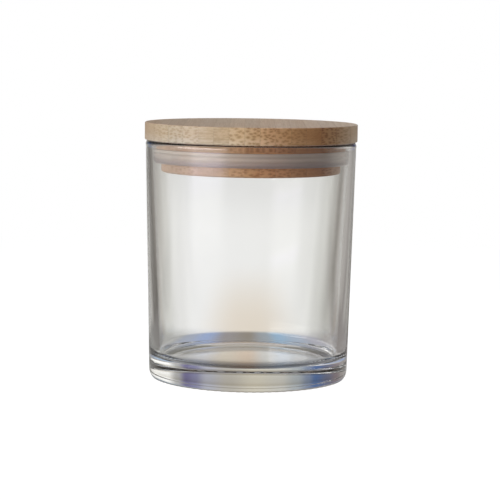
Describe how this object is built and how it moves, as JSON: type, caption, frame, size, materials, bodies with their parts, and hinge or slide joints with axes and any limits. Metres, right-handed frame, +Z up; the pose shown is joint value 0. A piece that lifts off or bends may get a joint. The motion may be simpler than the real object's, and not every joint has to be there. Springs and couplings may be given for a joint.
{
  "type": "lidded glass candle jar",
  "caption": "Straight-sided clear glass candle jar with a thick base, an empty cavity and a round bamboo push-in lid held by a silicone seal ring.",
  "frame": {"origin": "middle of the jar's foot, on the plane it rests on", "axes": "+Z up along the jar's axis, towards the lid; the front faces -Y; the lid's bamboo strips run along Y"},
  "size_m": [0.08, 0.08, 0.0962],
  "materials": {
    "glass": "clear, fire-polished, stippled bearing ring",
    "silicone": "translucent, satin",
    "bamboo_pale": "sanded bamboo, pale strip, fine fibre ends",
    "bamboo_honey": "sanded bamboo, honey strip, coarse fibre ends",
    "bamboo_dark": "sanded bamboo, darker strip, dense fibre ends"
  },
  "bodies": {
    "jar": {"glass_jar": "glass"},
    "seal": {"silicone_seal": "silicone"},
    "lid": {"lid_strip_01": "bamboo_pale", "lid_strip_02": "bamboo_pale", "lid_strip_03": "bamboo_pale", "lid_strip_04": "bamboo_honey", "lid_strip_05": "bamboo_pale", "lid_strip_06": "bamboo_pale", "lid_strip_07": "bamboo_honey", "lid_strip_08": "bamboo_honey", "lid_strip_09": "bamboo_pale", "lid_strip_10": "bamboo_honey", "lid_strip_11": "bamboo_honey", "lid_strip_12": "bamboo_dark", "lid_strip_13": "bamboo_dark", "lid_strip_14": "bamboo_dark", "lid_strip_15": "bamboo_honey"}
  },
  "joints": [
    {"name": "lid_lift", "type": "slide", "parent": "jar", "child": "seal", "axis": [0, 0, 1], "range_m": [0, 0.045]},
    {"name": "lid_twist", "type": "hinge", "parent": "seal", "child": "lid", "pos_m": [0, 0, 0.08975], "axis": [0, 0, 1], "continuous": true}
  ]
}
